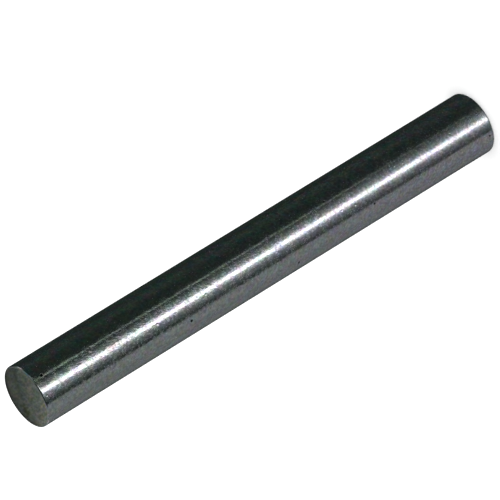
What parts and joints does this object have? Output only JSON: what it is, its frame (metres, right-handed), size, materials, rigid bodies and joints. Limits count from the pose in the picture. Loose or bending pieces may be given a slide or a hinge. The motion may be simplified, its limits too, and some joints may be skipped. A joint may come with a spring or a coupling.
{
  "type": "breaker push rod",
  "caption": "Straight solid rod of ground steel with flat ends and slightly rounded edges, which slides in a guide and passes a cam's lift to a pair of contact points.",
  "frame": {"origin": "centre of the flat face of the cam end, which the rod stands on", "axes": "+Z along the rod's axis, from the cam end to the points end; the rod is round, so X and Y are free"},
  "size_m": [0.0048, 0.0048, 0.0413],
  "materials": {
    "ground_steel": "dark, finely ground and lightly oiled on the round surface, dull and greyer on the cut ends"
  },
  "bodies": {
    "root": {"push_rod": "ground_steel"}
  },
  "joints": []
}
